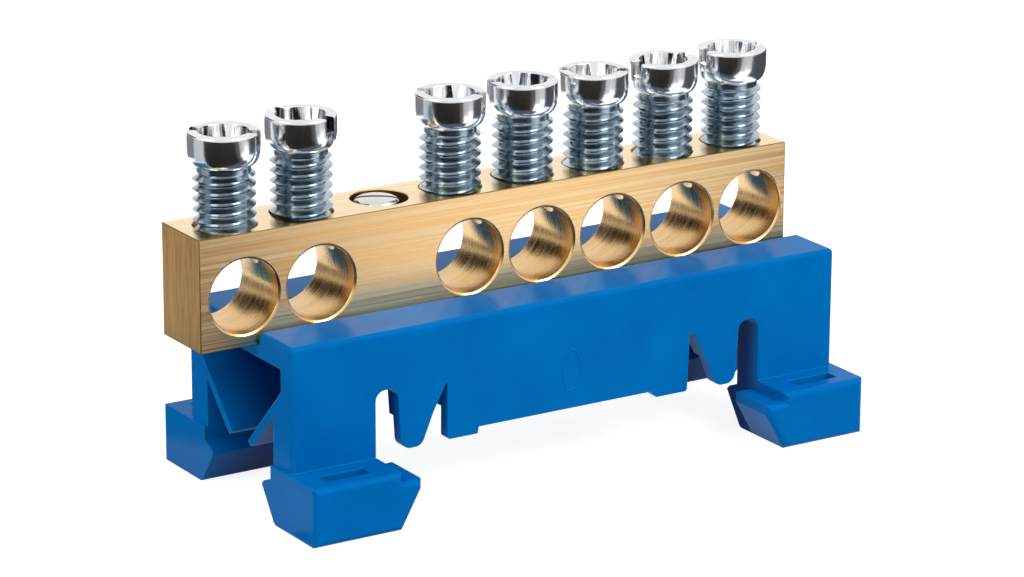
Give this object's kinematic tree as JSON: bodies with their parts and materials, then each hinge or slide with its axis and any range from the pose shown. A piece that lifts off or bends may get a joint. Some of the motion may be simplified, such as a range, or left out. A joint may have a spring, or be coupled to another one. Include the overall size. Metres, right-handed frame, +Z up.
{
  "type": "neutral terminal block",
  "caption": "Brass neutral busbar with cross-drilled wire holes and clamping screws, fixed on an insulating moulded base that snaps onto a mounting rail.",
  "frame": {"origin": "under the middle of the whole block, in the plane that its feet stand on", "axes": "+X along the bar, away from the end that overhangs the base; +Y through the wire holes to the far side; +Z up, the way the terminal screws come out"},
  "size_m": [0.056, 0.0244, 0.0305],
  "materials": {
    "blue_plastic": "satin",
    "brass": "drawn, with fine lines along the bar",
    "nickel_screw": "bright nickel",
    "zinc_screw": "bright bluish zinc plating"
  },
  "bodies": {
    "block": {"mounting_base": "blue_plastic", "terminal_bar": "brass", "fixing_screw": "nickel_screw"},
    "screw_1": {"terminal_screw_1": "zinc_screw"},
    "screw_2": {"terminal_screw_2": "zinc_screw"},
    "screw_3": {"terminal_screw_3": "zinc_screw"},
    "screw_4": {"terminal_screw_4": "zinc_screw"},
    "screw_5": {"terminal_screw_5": "zinc_screw"},
    "screw_6": {"terminal_screw_6": "zinc_screw"},
    "screw_7": {"terminal_screw_7": "zinc_screw"}
  },
  "joints": [
    {"name": "screw_travel_1", "type": "slide", "parent": "block", "child": "screw_1", "axis": [0, 0, 1], "range_m": [-0.0048, 0]},
    {"name": "screw_travel_2", "type": "slide", "parent": "block", "child": "screw_2", "axis": [0, 0, 1], "range_m": [-0.0052, 0]},
    {"name": "screw_travel_3", "type": "slide", "parent": "block", "child": "screw_3", "axis": [0, 0, 1], "range_m": [-0.0051, 0]},
    {"name": "screw_travel_4", "type": "slide", "parent": "block", "child": "screw_4", "axis": [0, 0, 1], "range_m": [-0.0052, 0]},
    {"name": "screw_travel_5", "type": "slide", "parent": "block", "child": "screw_5", "axis": [0, 0, 1], "range_m": [-0.0051, 0]},
    {"name": "screw_travel_6", "type": "slide", "parent": "block", "child": "screw_6", "axis": [0, 0, 1], "range_m": [-0.0051, 0]},
    {"name": "screw_travel_7", "type": "slide", "parent": "block", "child": "screw_7", "axis": [0, 0, 1], "range_m": [-0.0052, 0]}
  ]
}
